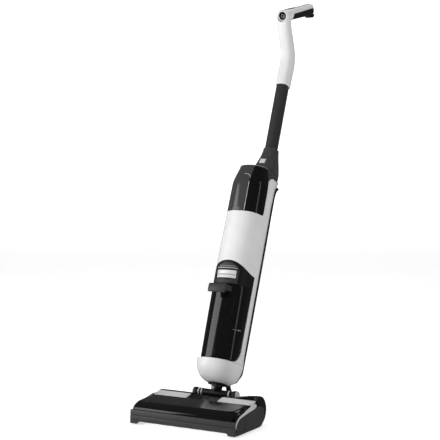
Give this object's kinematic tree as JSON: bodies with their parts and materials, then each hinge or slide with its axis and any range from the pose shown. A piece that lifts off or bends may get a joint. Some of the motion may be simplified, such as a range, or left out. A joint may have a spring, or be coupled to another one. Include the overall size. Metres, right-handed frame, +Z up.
{
  "type": "wet dry floor scrubber",
  "caption": "Upright cordless wet and dry floor washer: roller head on wheels, tilting and swinging body with smoked clean and dirty water tanks, tubular stick and angled grip.",
  "frame": {"origin": "centre of the outline on the floor, in the parked pose", "axes": "+Z up, -Y is the front, where the roller is, and +X is the right-hand end of the head as seen from the front"},
  "size_m": [0.28, 0.6716, 1.023],
  "materials": {
    "white_gloss": "gloss",
    "black_gloss": "gloss",
    "black_satin": "satin",
    "grey_satin": "satin",
    "smoked_clear": "gloss",
    "silver": "satin",
    "rubber": "matte",
    "pile": "matte",
    "steel": "satin",
    "alloy": "satin",
    "board": "satin"
  },
  "bodies": {
    "head": {"chassis": "black_satin", "drive_housing": "black_satin", "rear_frame": "black_satin", "rear_cover": "black_satin", "trim_left": "silver", "trim_right": "silver", "front_band": "grey_satin", "front_bumper": "black_satin", "end_panel_left": "grey_satin", "end_panel_right": "grey_satin", "brush_motor": "steel", "drive_belt": "rubber", "roller_scraper": "rubber", "floor_squeegee": "rubber", "suction_duct": "black_satin", "wheel_axle": "steel", "tilt_pin": "steel"},
    "roller_cover": {"roller_cover": "black_gloss", "cover_top_panel": "grey_satin"},
    "cover_latch": {"cover_latch": "black_satin"},
    "roller": {"roller_pile": "pile", "roller_core": "black_satin", "roller_pulley": "black_satin"},
    "motor_pinion": {"motor_pinion": "steel"},
    "wheel_left": {"wheel_tyre_left": "rubber", "wheel_hub_left": "black_satin"},
    "wheel_right": {"wheel_tyre_right": "rubber", "wheel_hub_right": "black_satin"},
    "neck": {"tilt_barrel": "alloy", "swing_pin": "steel", "dirty_water_hose": "rubber"},
    "main_body": {"neck_fork": "black_satin", "lower_cup": "white_gloss", "main_shell": "white_gloss", "back_cover": "black_gloss", "inner_frame": "black_satin", "suction_motor": "alloy", "battery_pack": "alloy", "control_board": "board", "water_pump": "black_satin", "charge_contacts": "steel", "neck_cover": "grey_satin"},
    "suction_impeller": {"suction_impeller": "grey_satin"},
    "dirty_tank": {"dirty_tank": "smoked_clear", "tank_lid": "grey_satin", "tank_grip": "grey_satin", "tank_standpipe": "smoked_clear", "tank_filter": "pile"},
    "tank_latch": {"tank_latch": "silver"},
    "float": {"float": "white_gloss"},
    "clean_tank": {"clean_tank": "smoked_clear"},
    "stick": {"stick_tube": "grey_satin", "handle_front_shell": "white_gloss", "handle_rear_shell": "black_satin", "knob_bezel": "grey_satin", "control_panel": "black_gloss"},
    "tube_release_button": {"tube_release_button": "silver"},
    "power_knob": {"power_knob": "silver"},
    "mode_button": {"mode_button": "grey_satin"},
    "self_clean_button": {"self_clean_button": "grey_satin"}
  },
  "joints": [
    {"name": "roller_cover_lift", "type": "slide", "parent": "head", "child": "roller_cover", "axis": [0, 0, 1], "range_m": [0, 0.06]},
    {"name": "cover_latch_press", "type": "slide", "parent": "head", "child": "cover_latch", "axis": [0, 0, -1], "range_m": [0, 0.003], "stiffness_N_per_m": 500, "springref_m": -0.002},
    {"name": "roller_spin", "type": "hinge", "parent": "head", "child": "roller", "pos_m": [0, -0.3088, 0.0225], "axis": [1, 0, 0], "continuous": true},
    {"name": "motor_pinion_spin", "type": "hinge", "parent": "head", "child": "motor_pinion", "pos_m": [0, -0.2028, 0.036], "axis": [1, 0, 0], "continuous": true},
    {"name": "wheel_left_spin", "type": "hinge", "parent": "head", "child": "wheel_left", "pos_m": [0, -0.0918, 0.02], "axis": [1, 0, 0], "continuous": true},
    {"name": "wheel_right_spin", "type": "hinge", "parent": "head", "child": "wheel_right", "pos_m": [0, -0.0918, 0.02], "axis": [1, 0, 0], "continuous": true},
    {"name": "tilt", "type": "hinge", "parent": "head", "child": "neck", "pos_m": [0, -0.1798, 0.058], "axis": [-1, 0, 0], "range_deg": [-21.5, 30]},
    {"name": "swing", "type": "hinge", "parent": "neck", "child": "main_body", "pos_m": [0, -0.17614, 0.0673], "axis": [0, 0.9304, -0.3665], "range_deg": [-22, 22], "deforming": ["dirty_water_hose"]},
    {"name": "suction_impeller_spin", "type": "hinge", "parent": "main_body", "child": "suction_impeller", "pos_m": [0, -0.03504, 0.42551], "axis": [0, 0.3665, 0.9304], "continuous": true},
    {"name": "dirty_tank_pull", "type": "slide", "parent": "main_body", "child": "dirty_tank", "axis": [0, -0.9304, 0.3665], "range_m": [0, 0.12]},
    {"name": "tank_latch_press", "type": "slide", "parent": "dirty_tank", "child": "tank_latch", "axis": [0, 0.9304, -0.3665], "range_m": [0, 0.002], "stiffness_N_per_m": 500, "springref_m": -0.002},
    {"name": "float_rise", "type": "slide", "parent": "dirty_tank", "child": "float", "axis": [0, 0.3665, 0.9304], "range_m": [0, 0.028]},
    {"name": "clean_tank_pull", "type": "slide", "parent": "main_body", "child": "clean_tank", "axis": [0, -0.9304, 0.3665], "range_m": [0, 0.1]},
    {"name": "stick_lift", "type": "slide", "parent": "main_body", "child": "stick", "axis": [0, 0.3665, 0.9304], "range_m": [0, 0.05]},
    {"name": "tube_release_button_press", "type": "slide", "parent": "main_body", "child": "tube_release_button", "axis": [0, 0.9304, -0.3665], "range_m": [0, 0.0025], "stiffness_N_per_m": 500, "springref_m": -0.002},
    {"name": "power_knob_press", "type": "slide", "parent": "stick", "child": "power_knob", "axis": [0, 0.9799, 0.1994], "range_m": [0, 0.0012], "stiffness_N_per_m": 500, "springref_m": -0.002},
    {"name": "mode_button_press", "type": "slide", "parent": "stick", "child": "mode_button", "axis": [0, 0.1994, -0.9799], "range_m": [0, 0.0012], "stiffness_N_per_m": 500, "springref_m": -0.002},
    {"name": "self_clean_button_press", "type": "slide", "parent": "stick", "child": "self_clean_button", "axis": [0, 0.1994, -0.9799], "range_m": [0, 0.0012], "stiffness_N_per_m": 500, "springref_m": -0.002}
  ],
  "couplings": [
    {"joint": "motor_pinion_spin", "follows": "roller_spin", "ratio": 1.6667}
  ]
}
